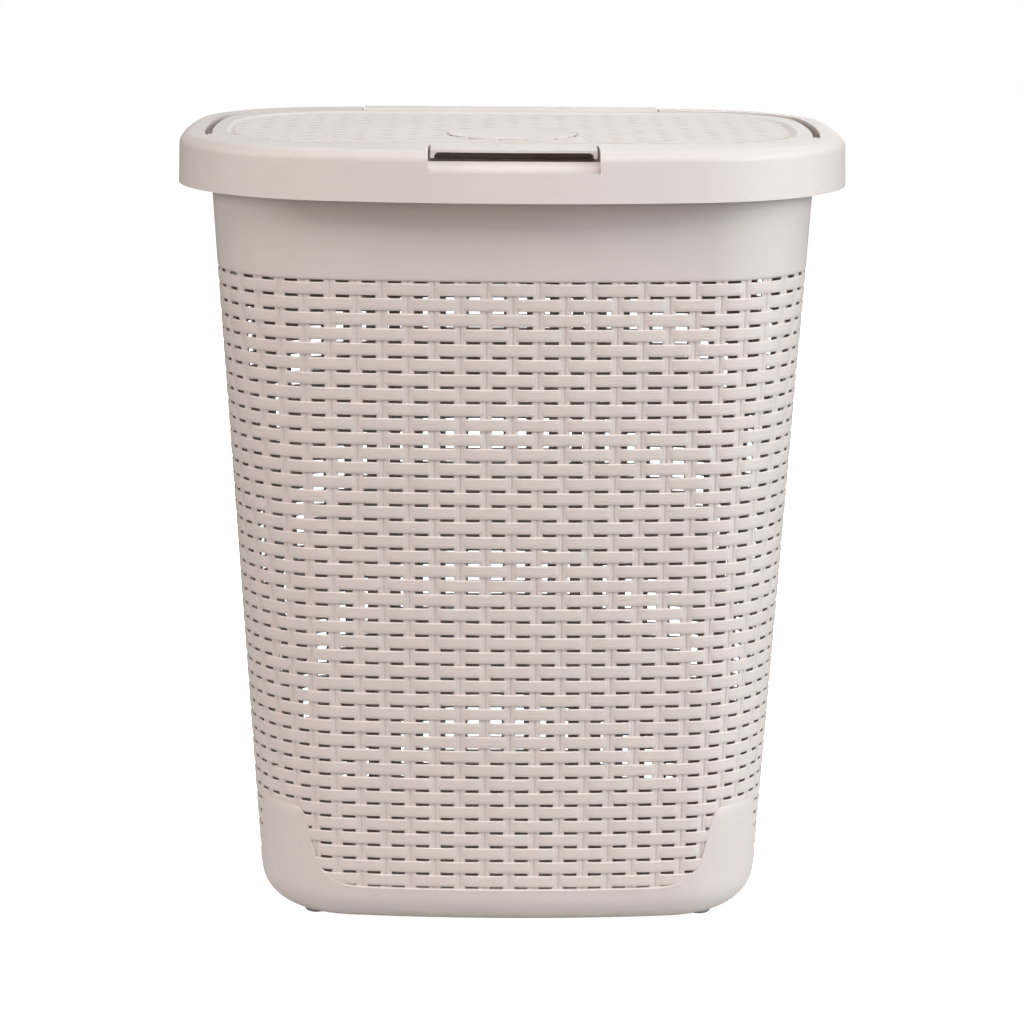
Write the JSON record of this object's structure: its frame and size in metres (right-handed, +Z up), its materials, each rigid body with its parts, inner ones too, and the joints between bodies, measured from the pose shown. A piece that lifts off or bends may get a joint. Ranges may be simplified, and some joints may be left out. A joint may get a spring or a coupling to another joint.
{
  "type": "laundry hamper with lid",
  "caption": "Tall tapered woven-pattern plastic laundry hamper with a clip-on frame ring, a hinged lid flap with a front finger pull, and rubber feet.",
  "frame": {"origin": "middle of the footprint, on the ground under the rubber feet", "axes": "+Z up, -Y to the front with the finger pull, +X to the right seen from the front"},
  "size_m": [0.448, 0.346, 0.5343],
  "materials": {
    "basket_plastic": "satin moulded polypropylene, warm taupe",
    "frame_plastic": "satin moulded polypropylene, warm taupe, fine grain",
    "lid_plastic": "satin moulded polypropylene, warm taupe, fine grain",
    "pin_plastic": "smooth natural acetal",
    "foot_rubber": "matt soft grey rubber"
  },
  "bodies": {
    "hamper": {"basket_tub": "basket_plastic", "rim_frame": "frame_plastic", "hinge_pin_left": "pin_plastic", "hinge_pin_right": "pin_plastic", "foot_front_left": "foot_rubber", "foot_front_right": "foot_rubber", "foot_rear_left": "foot_rubber", "foot_rear_right": "foot_rubber"},
    "lid": {"lid_panel": "lid_plastic", "lid_badge": "lid_plastic"}
  },
  "joints": [
    {"name": "lid_hinge", "type": "hinge", "parent": "hamper", "child": "lid", "pos_m": [0, 0.16, 0.5297], "axis": [-1, 0, 0], "range_deg": [0, 105]}
  ]
}
